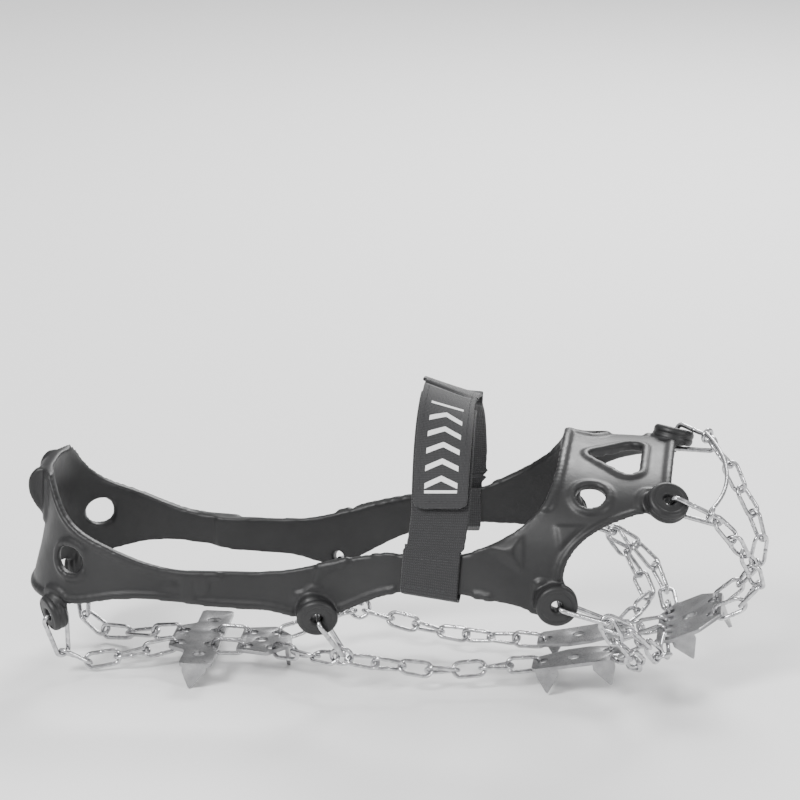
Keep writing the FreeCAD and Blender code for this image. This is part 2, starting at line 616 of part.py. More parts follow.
def build_strands(anchors, plates, rings):
    heel_rear = plates["heel_rear_plate"]
    heel_front = plates["heel_front_plate"]
    toe = plates["toe_plate"]
    strands = {}
    for side, name in ((-1, "right"), (1, "left")):
        index = 0 if side < 0 else 1
        ball = plates["ball_plate_" + name]
        rear = anchors["rear_" + name]
        route = [rear.contact, V(22, 18 * side, 4.8), V(40, 12.5 * side, 6.8), heel_rear.hole_contact(index)]
        strands["rear_chain_" + name] = Strand(route, 4, rear.hook_width(route), heel_rear.normal())
        strands["heel_plate_link_" + name] = Strand(
            [heel_rear.hole_contact(2 + index), heel_front.hole_contact(index)],
            1, heel_rear.normal(), heel_front.normal())
        ring = rings[name]
        strands["arch_chain_" + name] = Strand(
            [ring.back, heel_front.hole_contact(2 + index)], 3,
            ring.axis, heel_front.normal(), grouped=True)
        strands["middle_chain_" + name] = Strand(
            [ring.front, V(175, 22 * side, 9.0), ball.hole_contact(0)], 7,
            ring.axis, ball.normal(), grouped=True)
        strands["ball_chain_" + name] = Strand(
            [ball.hole_contact(1), toe.hole_contact(2 + index)], 2, ball.normal(), toe.normal(), grouped=True)
        fore = anchors["fore_" + name]
        strands["fore_chain_" + name] = Strand(
            [fore.contact, V(256.5, 50 * side, 42), V(263.9, 45.2 * side, 34),
             V(267.5, 40.5 * side, 27.5), V(270, 30 * side, 23), toe.hole_contact(index)],
            5, fore.pull.cross(fore.outward), toe.normal())
    front = anchors["front_right"]
    route = [front.contact, V(297.2, -31.8, 78.2), V(301.6, -25, 68.1), V(305.5, -18, 60.3),
             V(308, -12, 50.0), V(304, -9.5, 42.0), toe.hole_contact(4)]
    strands["front_chain_right"] = Strand(route, 6, front.hook_width(route), toe.normal())
    front = anchors["front_left"]
    route = [front.contact, V(293.8, 10.5, 96), V(299.6, 9.8, 84), V(305, 9, 75), V(308.5, 8.8, 66),
             V(309, 8.5, 56), V(303, 8.3, 46), toe.hole_contact(5)]
    strands["front_chain_left"] = Strand(route, 7, front.hook_width(route), toe.normal())
    return strands


class MiddleRing:
    """Round ring that joins a middle link to its two chains."""

    def __init__(self, anchor, side):
        reach = RING_BEND - LINK_WIRE - LINK_SLACK / 2
        down = V(0, -0.35 * side, -0.94).normalize()
        self.centre = anchor.contact + down * reach
        along_boot = V(1, 0, 0)
        self.back = self.centre + (along_boot * -0.866 + down * 0.5) * reach
        self.front = self.centre + (along_boot * 0.866 + down * 0.5) * reach
        self.axis = along_boot.cross(down).normalize()
        self.top = anchor.contact
        self.solid = Part.makeTorus(RING_BEND, LINK_WIRE, self.centre, self.axis)


def build():
    anchors = build_anchors()
    plates = build_plates()
    rings = {"right": MiddleRing(anchors["middle_right"], -1), "left": MiddleRing(anchors["middle_left"], 1)}
    strands = build_strands(anchors, plates, rings)
    parts = {"harness": build_harness(anchors)}
    parts.update(build_strap())
    for name, anchor in anchors.items():
        parts["eyelet_link_" + name] = anchor.link()
    parts["toe_bail"] = build_bail(anchors)
    for name, plate in plates.items():
        parts[name] = plate.solid
    for name, ring in rings.items():
        parts["middle_ring_" + name] = ring.solid
    for name, strand in strands.items():
        links = strand.links()
        if strand.grouped:
            parts[name] = Part.makeCompound(links)
        elif len(links) == 1:
            parts[name] = links[0]
        else:
            for number, link in enumerate(links, 1):
                parts[name + "_" + str(number)] = link
    return parts, anchors, plates, rings, strands


def middle_of(parts):
    """Middle of the footprint of all the parts, at the height of their lowest point."""
    points = [point for shape in parts.values() for point in shape.tessellate(0.05)[0]]
    xs = [point.x for point in points]
    ys = [point.y for point in points]
    return V((min(xs) + max(xs)) / 2, (min(ys) + max(ys)) / 2, min(point.z for point in points))


PARTS, ANCHORS, PLATES, RINGS, STRANDS = build()
MIDDLE = middle_of(PARTS)
os.makedirs("parts", exist_ok=True)
for node, shape in PARTS.items():
    shape = shape.copy()
    shape.translate(-MIDDLE)
    shape.exportStep("parts/" + node + ".step")
for node, strand in STRANDS.items():
    print(node, "pitch", round(strand.pitch, 2))
print("pieces", len(PARTS), "origin", MIDDLE)
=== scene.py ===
import json
import math

import bmesh
import bpy
import numpy as np
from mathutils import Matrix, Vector
from mathutils.bvhtree import BVHTree
from mathutils.kdtree import KDTree


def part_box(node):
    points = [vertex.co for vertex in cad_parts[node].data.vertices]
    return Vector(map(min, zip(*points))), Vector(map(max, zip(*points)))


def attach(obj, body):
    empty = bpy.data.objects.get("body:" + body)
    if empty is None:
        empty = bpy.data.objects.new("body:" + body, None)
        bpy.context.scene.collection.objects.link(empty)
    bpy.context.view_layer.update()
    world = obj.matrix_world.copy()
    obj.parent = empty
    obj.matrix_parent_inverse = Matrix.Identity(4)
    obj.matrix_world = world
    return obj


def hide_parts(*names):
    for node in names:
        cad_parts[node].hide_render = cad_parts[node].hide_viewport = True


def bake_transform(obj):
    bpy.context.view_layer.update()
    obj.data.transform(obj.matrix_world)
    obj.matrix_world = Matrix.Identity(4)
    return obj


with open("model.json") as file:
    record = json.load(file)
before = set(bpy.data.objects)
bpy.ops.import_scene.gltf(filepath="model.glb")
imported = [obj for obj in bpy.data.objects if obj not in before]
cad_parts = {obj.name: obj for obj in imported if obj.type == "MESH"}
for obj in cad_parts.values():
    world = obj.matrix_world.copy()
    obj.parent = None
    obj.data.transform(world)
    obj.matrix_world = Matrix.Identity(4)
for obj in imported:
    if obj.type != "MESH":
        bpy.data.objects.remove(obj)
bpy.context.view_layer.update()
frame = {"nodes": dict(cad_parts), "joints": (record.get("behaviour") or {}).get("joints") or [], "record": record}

# Microspikes: elastomer harness, instep strap, tapered links, chains and spiked plates.
MM = 0.001
JOINTS = {j["name"]: j for j in frame["joints"]}
NODE_BODY = {n: body for body, nodes in frame["record"]["behaviour"]["bodies"].items() for n in nodes}
SEAT = Vector(frame["record"]["mounts"][0]["pos_m"])

# the same driving sizes as the CAD, in millimetres
LUG_HOLE = 2.5
LUG_THICKNESS = 6.4
LUG_RADIUS = {"rear": 7.8, "middle": 8.6, "fore": 8.6, "front": 8.6}
EYELET_WIRE = 1.05
EYELET_LENGTH = 21.9
EYELET_BAR_HALF = 5.5
EYELET_TIP_RADIUS = 2.75
EYELET_CORNER = 2.2
EYELET_REST = 1.2
LINK_WIRE = 0.9
LINK_BEND = 3.1
LINK_TWIST = math.radians(11)


def boot(x, y, z):
    """A point given in the boot's own millimetres: x from the heel, z from the ground."""
    return SEAT + Vector((x - 150.0, y, z - 12.0)) * MM


def node_points(name):
    mesh = frame["nodes"][name].data
    co = np.empty(len(mesh.vertices) * 3)
    mesh.vertices.foreach_get("co", co)
    return co.reshape(-1, 3)


# ---------------------------------------------------------------- mesh helpers
def new_object(name, verts, faces, material, smooth=True):
    mesh = bpy.data.meshes.new(name)
    mesh.from_pydata([tuple(v) for v in verts], [], faces)
    mesh.update()
    obj = bpy.data.objects.new(name, mesh)
    bpy.context.scene.collection.objects.link(obj)
    mesh.materials.append(material)
    mesh.polygons.foreach_set("use_smooth", [smooth] * len(mesh.polygons))
    return obj


def merge(parts):
    """One (verts, faces) from several."""
    verts = []
    faces = []
    for part_verts, part_faces in parts:
        start = len(verts)
        verts.extend(part_verts)
        faces.extend([tuple(start + i for i in f) for f in part_faces])
    return verts, faces


def closed_tube(points, binormals, radii, sides=14):
    """Tube round a closed loop of points; binormals are across the loop's plane."""
    count = len(points)
    verts = []
    faces = []
    for i in range(count):
        tangent = points[(i + 1) % count] - points[i - 1]
        tangent /= np.linalg.norm(tangent)
        b = binormals[i] - tangent * binormals[i].dot(tangent)
        b /= np.linalg.norm(b)
        n = np.cross(b, tangent)
        for k in range(sides):
            turn = 2 * math.pi * k / sides
            verts.append(points[i] + radii[i] * (n * math.cos(turn) + b * math.sin(turn)))
    for i in range(count):
        for k in range(sides):
            a = i * sides + k
            b = i * sides + (k + 1) % sides
            c = ((i + 1) % count) * sides + (k + 1) % sides
            d = ((i + 1) % count) * sides + k
            faces.append((a, b, c, d))
    return verts, faces


def lathe(profile, steps=72):
    """Closed ring turned from a closed profile of (radius, height) about local Z."""
    verts = []
    faces = []
    count = len(profile)
    for i in range(steps):
        turn = 2 * math.pi * i / steps
        for radius, height in profile:
            verts.append(np.array([radius * math.cos(turn), radius * math.sin(turn), height]))
    for i in range(steps):
        for k in range(count):
            a = i * count + k
            b = i * count + (k + 1) % count
            c = ((i + 1) % steps) * count + (k + 1) % count
            d = ((i + 1) % steps) * count + k
            faces.append((a, d, c, b))
    return verts, faces


def placed(part, origin, x_axis, y_axis, scale=MM):
    """(verts, faces) in local millimetres, put at origin with its X and Y along the two axes."""
    x = np.array(x_axis) / np.linalg.norm(x_axis)
    y = np.array(y_axis) - x * np.dot(y_axis, x)
    y /= np.linalg.norm(y)
    z = np.cross(x, y)
    turn = np.stack([x, y, z])
    verts, faces = part
    return list(np.array(verts) @ turn * scale + np.array(origin)), faces


def resample(points, count, closed=True):
    pts = np.array(points)
    loop = np.vstack([pts, pts[:1]]) if closed else pts
    steps = np.linalg.norm(np.diff(loop, axis=0), axis=1)
    length = np.concatenate([[0], np.cumsum(steps)])
    at = np.linspace(0, length[-1], count, endpoint=not closed)
    return np.stack([np.interp(at, length, loop[:, k]) for k in range(loop.shape[1])], 1)


# ---------------------------------------------------------------- materials
def principled(name, color, roughness, metallic=0.0):
    mat = bpy.data.materials.new(name)
    mat.use_nodes = True
    shader = mat.node_tree.nodes["Principled BSDF"]
    shader.inputs["Base Color"].default_value = (*color, 1)
    shader.inputs["Roughness"].default_value = roughness
    shader.inputs["Metallic"].default_value = metallic
    return mat, shader


def add(mat, kind, **values):
    node = mat.node_tree.nodes.new(kind)
    for key, value in values.items():
        if key in node.inputs:
            node.inputs[key].default_value = value
        else:
            setattr(node, key, value)
    return node


def link(mat, a, b):
    mat.node_tree.links.new(a, b)


def noise(mat, where, scale, detail=3.0):
    node = add(mat, "ShaderNodeTexNoise", Scale=scale, Detail=detail)
    link(mat, where, node.inputs["Vector"])
    return node.outputs["Fac"]


def ramp(mat, value, low, high, at=(0.3, 0.7)):
    node = mat.node_tree.nodes.new("ShaderNodeValToRGB")
    node.color_ramp.elements[0].position = at[0]
    node.color_ramp.elements[1].position = at[1]
    node.color_ramp.elements[0].color = (*low, 1) if len(low) == 3 else low
    node.color_ramp.elements[1].color = (*high, 1) if len(high) == 3 else high
    link(mat, value, node.inputs["Fac"])
    return node.outputs["Color"]


def spread(mat, value, low, high):
    node = add(mat, "ShaderNodeMapRange")
    node.inputs["To Min"].default_value = low
    node.inputs["To Max"].default_value = high
    link(mat, value, node.inputs["Value"])
    return node.outputs["Result"]


def bump(mat, shader, height, distance, strength=1.0, after=None):
    node = add(mat, "ShaderNodeBump", Strength=strength, Distance=distance)
    link(mat, height, node.inputs["Height"])
    if after is not None:
        link(mat, after, node.inputs["Normal"])
    link(mat, node.outputs["Normal"], shader.inputs["Normal"])
    return node.outputs["Normal"]


def math_node(mat, operation, a, b=None):
    node = add(mat, "ShaderNodeMath", operation=operation)
    for socket, value in zip(node.inputs, (a, b)):
        if value is None:
            continue
        if isinstance(value, (int, float)):
            socket.default_value = value
        else:
            link(mat, value, socket)
    return node.outputs["Value"]


def elastomer():
    mat, shader = principled("elastomer", (0.018, 0.018, 0.019), 0.42)
    where = add(mat, "ShaderNodeTexCoord").outputs["Object"]
    broad = noise(mat, where, 38.0, 4.0)
    link(mat, ramp(mat, broad, (0.009, 0.009, 0.0095), (0.016, 0.016, 0.0165)), shader.inputs["Base Color"])
    smear = noise(mat, where, 170.0, 5.0)
    link(mat, spread(mat, smear, 0.38, 0.56), shader.inputs["Roughness"])
    shader.inputs["Specular IOR Level"].default_value = 0.4
    first = bump(mat, shader, noise(mat, where, 2600.0, 2.0), 0.00006, 0.5)
    bump(mat, shader, noise(mat, where, 420.0, 3.0), 0.00012, 0.5, first)
    return mat


def wire_steel():
    mat, shader = principled("wire_steel", (0.62, 0.62, 0.63), 0.2, 1.0)
    where = add(mat, "ShaderNodeTexCoord").outputs["Object"]
    mottle = noise(mat, where, 520.0, 4.0)
    link(mat, ramp(mat, mottle, (0.34, 0.34, 0.35), (0.66, 0.66, 0.67)), shader.inputs["Base Color"])
    link(mat, spread(mat, noise(mat, where, 900.0, 5.0), 0.12, 0.34), shader.inputs["Roughness"])
    bump(mat, shader, noise(mat, where, 1500.0, 3.0), 0.00003, 0.6)
    return mat


def plate_steel():
    mat, shader = principled("plate_steel", (0.5, 0.5, 0.51), 0.36, 1.0)
    where = add(mat, "ShaderNodeTexCoord").outputs["Object"]
    stretched = add(mat, "ShaderNodeMapping")
    stretched.inputs["Scale"].default_value = (1.0, 9.0, 9.0)
    link(mat, where, stretched.inputs["Vector"])
    grain = noise(mat, stretched.outputs["Vector"], 700.0, 5.0)
    link(mat, ramp(mat, noise(mat, where, 260.0, 5.0), (0.27, 0.27, 0.275), (0.36, 0.36, 0.365)),
         shader.inputs["Base Color"])
    link(mat, spread(mat, grain, 0.2, 0.38), shader.inputs["Roughness"])
    first = bump(mat, shader, grain, 0.00004, 0.5)
    bump(mat, shader, noise(mat, where, 800.0, 2.0), 0.00006, 0.5, first)
    return mat


def webbing(name, color, pitch, depth):
    """Plain weave in UV metres: ribs across the strap, broken by the warp."""
    mat, shader = principled(name, color, 0.78)
    uv = add(mat, "ShaderNodeUVMap").outputs["UV"]
    split = add(mat, "ShaderNodeSeparateXYZ")
    link(mat, uv, split.inputs["Vector"])
    along = math_node(mat, "MULTIPLY", split.outputs["X"], math.pi / pitch)
    across = math_node(mat, "MULTIPLY", split.outputs["Y"], math.pi / (pitch * 0.8))
    weave = math_node(mat, "MULTIPLY", math_node(mat, "SINE", along), math_node(mat, "SINE", across))
    raised = math_node(mat, "ABSOLUTE", weave)
    fray = noise(mat, uv, 5200.0, 2.0)
    height = math_node(mat, "ADD", raised, math_node(mat, "MULTIPLY", fray, 0.5))
    # painted shade and painted highlight: the colour follows the weave height, darker in the low gaps and lighter
    # on the raised threads, plus random tone from the fray noise
    dark = tuple(c * 0.45 for c in color)
    light = tuple(c * 1.9 for c in color)
    link(mat, ramp(mat, height, dark, light, (0.2, 1.2)), shader.inputs["Base Color"])
    link(mat, spread(mat, fray, 0.62, 0.9), shader.inputs["Roughness"])
    shader.inputs["Sheen Weight"].default_value = 0.25
    shader.inputs["Sheen Roughness"].default_value = 0.4
    bump(mat, shader, height, depth, 0.9)
    return mat


def plain(name, color, roughness, scale=900.0):
    mat, shader = principled(name, color, roughness)
    where = add(mat, "ShaderNodeUVMap").outputs["UV"]
    value = noise(mat, where, scale, 4.0)
    low = tuple(c * 0.8 for c in color)
    high = tuple(min(c * 1.1, 1.0) for c in color)
    link(mat, ramp(mat, value, low, high), shader.inputs["Base Color"])
    bump(mat, shader, value, 0.00005, 0.4)
    return mat


ELASTOMER = elastomer()
WIRE = wire_steel()
PLATE = plate_steel()
STRAP_WEAVE = webbing("strap_weave", (0.012, 0.012, 0.013), 0.0011, 0.0002)
TAB_WEAVE = webbing("tab_weave", (0.016, 0.016, 0.017), 0.0007, 0.00012)
THREAD = plain("thread", (0.03, 0.03, 0.032), 0.7)
PRINT = plain("print", (0.78, 0.78, 0.78), 0.6, 2600.0)


# ---------------------------------------------------------------- chains and links
def loop_with_weld(points, wire, count):
    """Even points round a flat loop, starting at the weld, and the wire's radius at each."""
    even = resample(points, count)
    steps = np.linalg.norm(np.roll(even, -1, 0) - even, axis=1)
    walked = np.concatenate([[0], np.cumsum(steps)[:-1]])
    from_weld = np.minimum(walked, steps.sum() - walked)
    flash = 0.16 * np.exp(-(from_weld / 0.42) ** 2) - 0.07 * np.exp(-((from_weld - 0.95) / 0.4) ** 2)
    return even, wire + flash


def small_link(length):
    """Twisted link of round wire, local millimetres, long way along X."""
    half = length / 2
    straight = half - LINK_BEND
    points = [(0.0, LINK_BEND), (straight, LINK_BEND)]
    for sign in (1, -1):
        for i in range(1, 16):
            turn = math.pi * i / 16
            points.append((sign * (straight + LINK_BEND * math.sin(turn)),
                           sign * LINK_BEND * math.cos(turn)))
        points.append((sign * straight, -sign * LINK_BEND))
        points.append((-sign * straight, -sign * LINK_BEND))
    flat, radii = loop_with_weld(points[:-1], LINK_WIRE, 84)
    twist = LINK_TWIST * flat[:, 0] / half
    curve = np.stack([flat[:, 0], flat[:, 1] * np.cos(twist), flat[:, 1] * np.sin(twist)], 1)
    across = np.stack([0 * twist, -np.sin(twist), np.cos(twist)], 1)
    return closed_tube(list(curve), list(across), radii)


def ring_link(radius):
    points = [(radius * math.cos(2 * math.pi * i / 60), radius * math.sin(2 * math.pi * i / 60))
              for i in range(60)]
    flat, radii = loop_with_weld(points, LINK_WIRE, 84)
    curve = np.column_stack([flat, np.zeros(len(flat))])
    return closed_tube(list(curve), [np.array([0.0, 0.0, 1.0])] * len(flat), radii)


def tapered_link():
    """Tapered link in its own frame: wide bar at x = 0, narrow bend at x = EYELET_LENGTH."""
    run = EYELET_LENGTH - EYELET_TIP_RADIUS
    taper = math.asin((EYELET_BAR_HALF - EYELET_TIP_RADIUS) / run)
    corner_y = EYELET_TIP_RADIUS / math.cos(taper) + run * math.tan(taper)
    touch = np.array([run + EYELET_TIP_RADIUS * math.sin(taper), EYELET_TIP_RADIUS * math.cos(taper)])
    corner = np.array([0.0, corner_y])
    leg = (touch - corner) / np.linalg.norm(touch - corner)
    half_angle = math.acos(-leg[1]) / 2
    back = EYELET_CORNER / math.tan(half_angle)
    inward = leg + np.array([0.0, -1.0])
    centre = corner + inward / np.linalg.norm(inward) * EYELET_CORNER / math.sin(half_angle)
    points = [corner + leg * (back + 6.5)]
    points += [corner + leg * t for t in np.linspace(back + 9, np.linalg.norm(touch - corner) - 1, 4)]
    tip_from = math.pi / 2 - taper
    for i in range(17):
        turn = tip_from - 2 * tip_from * i / 16
        points.append(np.array([run + EYELET_TIP_RADIUS * math.cos(turn), EYELET_TIP_RADIUS * math.sin(turn)]))
    mirrored = np.array([1, -1])
    start = math.atan2(*(corner + leg * back - centre)[::-1])
    end = math.atan2(*(corner + np.array([0.0, -1.0]) * back - centre)[::-1])
    end += 2 * math.pi if end < start else 0
    arc = [centre + EYELET_CORNER * np.array([math.cos(t), math.sin(t)]) for t in np.linspace(start, end, 12)]
    points += [p * mirrored for p in arc]
    points += [p for p in arc[::-1]]
    flat, radii = loop_with_weld(points, EYELET_WIRE, 120)
    curve = np.column_stack([flat, np.zeros(len(flat))])
    return closed_tube(list(curve), [np.array([0.0, 0.0, 1.0])] * len(flat), radii, 16)


def axes_of(points):
    """Middle of a point cloud, its main directions, longest first, and its size along each."""
    centre = (points.max(0) + points.min(0)) / 2
    _, vectors = np.linalg.eigh(np.cov((points - points.mean(0)).T))
    axes = vectors[:, ::-1].T
    spans = (points - centre) @ axes.T
    middle = (spans.max(0) + spans.min(0)) / 2
    return centre + middle @ axes, axes, spans.max(0) - spans.min(0)


def islands(name):
    """Point clouds of the separate solids in a node."""
    mesh = frame["nodes"][name].data
    work = bmesh.new()
    work.from_mesh(mesh)
    bmesh.ops.remove_doubles(work, verts=work.verts, dist=1e-6)
    todo = set(work.verts)
    clouds = []
    while todo:
        stack = [next(iter(todo))]
        found = []
        todo.discard(stack[0])
        while stack:
            vert = stack.pop()
            found.append(vert.co.copy())
            for edge in vert.link_edges:
                other = edge.other_vert(vert)
                if other in todo:
                    todo.discard(other)
                    stack.append(other)
        clouds.append(np.array(found))
    work.free()
    clouds.sort(key=lambda c: tuple(c.mean(0)))
    return clouds


def stand_for(obj, node):
    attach(obj, NODE_BODY[node])
    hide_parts(node)
    return obj


def build_chains():
    for node in sorted(frame["nodes"]):
        if not ("_chain_" in node or node.startswith("heel_plate_link")):
            continue
        parts = []
        for cloud in islands(node):
            centre, axes, size = axes_of(cloud)
            length = size[0] / MM - 2 * LINK_WIRE
            parts.append(placed(small_link(length), centre, axes[0], axes[1]))
        stand_for(new_object("links_" + node, *merge(parts), WIRE), node)


def build_second_fore_chains():
    """The chain from each fore link to the outer front hole of the ball plate."""
    for side, name in ((-1, "right"), (1, "left")):
        lug = next(one for one in LUGS if one.name == "fore_" + name)
        start = lug.link_origin + lug.pull * (EYELET_LENGTH - EYELET_WIRE - 0.6) * MM
        route = [start, boot(252, 50.5 * side, 36), boot(261, 40.5 * side, 23.5),
                 boot(250, 19.5 * side, 18.5)]
        contacts = resample([np.array(p) for p in route], 6, closed=False)
        width = np.cross(contacts[1] - contacts[0], lug.facing)
        parts = []
        for a, b in zip(contacts, contacts[1:]):
            width = width - (b - a) * width.dot(b - a) / (b - a).dot(b - a)
            length = np.linalg.norm(b - a) / MM + 2 * LINK_WIRE
            parts.append(placed(small_link(length), (a + b) / 2, b - a, width))
            width = np.cross(b - a, width)
            width /= np.linalg.norm(width)
        obj = new_object("second_fore_links_" + name, *merge(parts), WIRE)
        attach(obj, "harness")


def build_rings():
    for node in ("middle_ring_right", "middle_ring_left"):
        centre, axes, size = axes_of(node_points(node))
        part = placed(ring_link(size[0] / MM / 2 - LINK_WIRE), centre, axes[0], axes[1])
        stand_for(new_object("round_" + node, *part, WIRE), node)


class Lug:
    """Where a lug's hole is, which way its link pulls and which way the lug faces."""

    def __init__(self, name):
        joint = JOINTS["eyelet_roll_" + name]
        self.name = name
        self.pull = np.array(joint["axis"])
        self.link_origin = np.array(joint["pos_m"])
        self.hole = self.link_origin - self.pull * EYELET_REST * MM
        _, axes, _ = axes_of(node_points("eyelet_link_" + name))
        facing = axes[1] - self.pull * axes[1].dot(self.pull)
        facing /= np.linalg.norm(facing)
        inside = np.array(boot(60, 0, 45)) if name.startswith("rear") else np.array(boot(230, 0, 45))
        inside[0] = inside[0] if name.startswith("rear") else self.hole[0]
        self.facing = facing if facing.dot(self.hole - inside) > 0 else -facing
        self.radius = LUG_RADIUS[name.split("_")[0]]


LUGS = [Lug(end + "_" + side) for end in ("rear", "middle", "fore", "front") for side in ("right", "left")]


def build_tapered_links():
    for lug in LUGS:
        node = "eyelet_link_" + lug.name
        part = placed(tapered_link(), lug.link_origin, lug.pull, lug.facing)
        stand_for(new_object("tapered_" + lug.name, *part, WIRE), node)


# ---------------------------------------------------------------- plates and bail
def refined(node, name, material, bevel):
    """A welded copy of a CAD node with its sharp edges rounded."""
    work = bmesh.new()
    work.from_mesh(frame["nodes"][node].data)
    bmesh.ops.remove_doubles(work, verts=work.verts, dist=1e-6)
    bmesh.ops.dissolve_limit(work, angle_limit=math.radians(1.0), verts=work.verts, edges=work.edges)
    if bevel:
        sharp = [e for e in work.edges if len(e.link_faces) == 2 and e.calc_face_angle(0) > math.radians(35)]
        bmesh.ops.bevel(work, geom=sharp, offset=bevel * MM, segments=3, profile=0.5, affect="EDGES",
                        clamp_overlap=True)
    bmesh.ops.triangulate(work, faces=[f for f in work.faces if len(f.verts) > 4])
    mesh = bpy.data.meshes.new(name)
    work.to_mesh(mesh)
    work.free()
    obj = bpy.data.objects.new(name, mesh)
    bpy.context.scene.collection.objects.link(obj)
    mesh.materials.append(material)
    mesh.shade_smooth()
    mesh.set_sharp_from_angle(angle=math.radians(40))
    return stand_for(obj, node)


def build_plates():
    for node in sorted(frame["nodes"]):
        if node.endswith("_plate") or node.startswith("ball_plate"):
            refined(node, "spiked_" + node, PLATE, 0.22)
    refined("toe_bail", "bail_wire", WIRE, 0.0)


# ---------------------------------------------------------------- harness
RIM_WIDTH = 3.3
RIM_HEIGHT = 1.3
HARNESS_VOXEL = 0.85

# raised three-cornered reliefs on the band's side: corners (x, z), height, slope
RELIEFS = [
    ([(54.5, 46.3), (74.1, 44.4), (63.1, 52.6)], 1.1, 0.45),
    ([(108.1, 55.2), (133.3, 59.6), (121.7, 49.2)], 1.1, 0.4),
    ([(193.9, 75.2), (211.9, 81.6), (212.7, 65.0)], 2.2, 0.55),
    ([(224.6, 85.3), (237.4, 85.6), (226.9, 75.2)], 0.8, 0.9),
]


def outward(points):
    """Unit direction away from the boot's middle line at each point."""
    heel_axis = boot(62, 0, 0)
    line_height = boot(0, 0, 44)[2]
    out = np.zeros_like(points)
    heel = points[:, 0] < heel_axis[0]
    out[:, 1] = points[:, 1] - SEAT[1]
    out[~heel, 2] = np.maximum(points[~heel, 2] - line_height, 0)
    out[heel, 0] = points[heel, 0] - heel_axis[0]
    return out / np.linalg.norm(out, axis=1, keepdims=True)


def outline_samples():
    """Points along the edges where the harness's outer face ends, and not on the lugs."""
    work = bmesh.new()
    work.from_mesh(frame["nodes"]["harness"].data)
    bmesh.ops.remove_doubles(work, verts=work.verts, dist=1e-6)
    centres = np.array([f.calc_center_median() for f in work.faces])
    facing = np.einsum("ij,ij->i", outward(centres), np.array([f.normal for f in work.faces]))
    work.faces.ensure_lookup_table()
    samples = []
    for edge in work.edges:
        if len(edge.link_faces) != 2 or edge.calc_face_angle(0) < math.radians(35):
            continue
        a, b = (facing[f.index] for f in edge.link_faces)
        if max(a, b) < 0.5 or min(a, b) > 0.45:
            continue
        start, end = (np.array(v.co) for v in edge.verts)
        steps = max(2, int(np.linalg.norm(end - start) / (0.4 * MM)))
        samples += [start + (end - start) * t for t in np.linspace(0, 1, steps)]
    work.free()
    samples = np.array(samples)
    keep = np.ones(len(samples), bool)
    for lug in LUGS:
        away = samples - lug.hole
        flat = away - np.outer(away @ lug.facing, lug.facing)
        keep &= np.linalg.norm(flat, axis=1) > (lug.radius + 0.6) * MM
    return samples[keep]


def smooth_step(t):
    t = np.clip(t, 0, 1)
    return t * t * (3 - 2 * t)


def relief_height(x, z, corners, height, slope):
    """Height of a faceted relief: it climbs from its outline to a flat or a point."""
    inside = np.full(len(x), 1e9)
    middle = np.mean(corners, axis=0)
    for (ax, az), (bx, bz) in zip(corners, corners[1:] + corners[:1]):
        nx, nz = az - bz, bx - ax
        length = math.hypot(nx, nz)
        side = ((x - ax) * nx + (z - az) * nz) / length
        if (middle[0] - ax) * nx + (middle[1] - az) * nz < 0:
            side = -side
        inside = np.minimum(inside, side)
    return np.clip(inside * slope, 0, height)


def remeshed(node, voxel):
    source = frame["nodes"][node]
    work = bpy.data.objects.new("work", source.data.copy())
    bpy.context.scene.collection.objects.link(work)
    modifier = work.modifiers.new("voxels", "REMESH")
    modifier.mode = "VOXEL"
    modifier.voxel_size = voxel * MM
    modifier.use_smooth_shade = True
    bpy.context.view_layer.update()
    graph = bpy.context.evaluated_depsgraph_get()
    mesh = bpy.data.meshes.new_from_object(work.evaluated_get(graph))
    bpy.data.objects.remove(work)
    return mesh


def soften(mesh, times):
    work = bmesh.new()
    work.from_mesh(mesh)
    for _ in range(times):
        bmesh.ops.smooth_vert(work, verts=work.verts, factor=0.5, use_axis_x=True, use_axis_y=True,
                              use_axis_z=True)
    work.to_mesh(mesh)
    work.free()
    mesh.update()


def build_harness():
    mesh = remeshed("harness", HARNESS_VOXEL)
    soften(mesh, 3)
    count = len(mesh.vertices)
    points = np.empty(count * 3)
    mesh.vertices.foreach_get("co", points)
    points = points.reshape(-1, 3)
    normals = np.empty(count * 3)
    mesh.vertices.foreach_get("normal", normals)
    normals = normals.reshape(-1, 3)
    outer = smooth_step((np.einsum("ij,ij->i", outward(points), normals) - 0.25) / 0.4)
    samples = outline_samples()
    tree = KDTree(len(samples))
    for i, sample in enumerate(samples):
        tree.insert(sample, i)
    tree.balance()
    edge = np.array([tree.find(p)[2] for p in points]) / MM
    rim = RIM_HEIGHT * np.sqrt(np.clip(1 - ((edge - RIM_WIDTH * 0.45) / (RIM_WIDTH * 0.62)) ** 2, 0, 1))
    crease = -0.35 * np.exp(-((edge - RIM_WIDTH * 1.18) / 0.5) ** 2)
    lift = rim + crease
    x = (points[:, 0] - SEAT[0]) / MM + 150.0
    z = (points[:, 2] - SEAT[2]) / MM + 12.0
    for corners, height, slope in RELIEFS:
        lift = np.maximum(lift, relief_height(x, z, corners, height, slope))
    lug_zone = np.ones(count)
    for lug in LUGS:
        away = points - lug.hole
        flat = np.linalg.norm(away - np.outer(away @ lug.facing, lug.facing), axis=1) / MM
        lug_zone *= smooth_step((flat - lug.radius - 0.4) / 1.2)
    strap_low, strap_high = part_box("strap_right_webbing")
    strap_middle = (strap_low[0] + strap_high[0]) / 2
    strap_half = (strap_high[0] - strap_low[0]) / 2
    under_strap = smooth_step((np.abs(points[:, 0] - strap_middle) - strap_half - 0.3 * MM) / (2.5 * MM))
    points += normals * (lift * outer * lug_zone * under_strap)[:, None] * MM
    mesh.vertices.foreach_set("co", points.ravel())
    soften(mesh, 2)
    mesh.materials.clear()
    mesh.materials.append(ELASTOMER)
    mesh.shade_smooth()
    obj = bpy.data.objects.new("harness_moulding", mesh)
    bpy.context.scene.collection.objects.link(obj)
    stand_for(obj, "harness")
    print("harness faces", len(mesh.polygons))


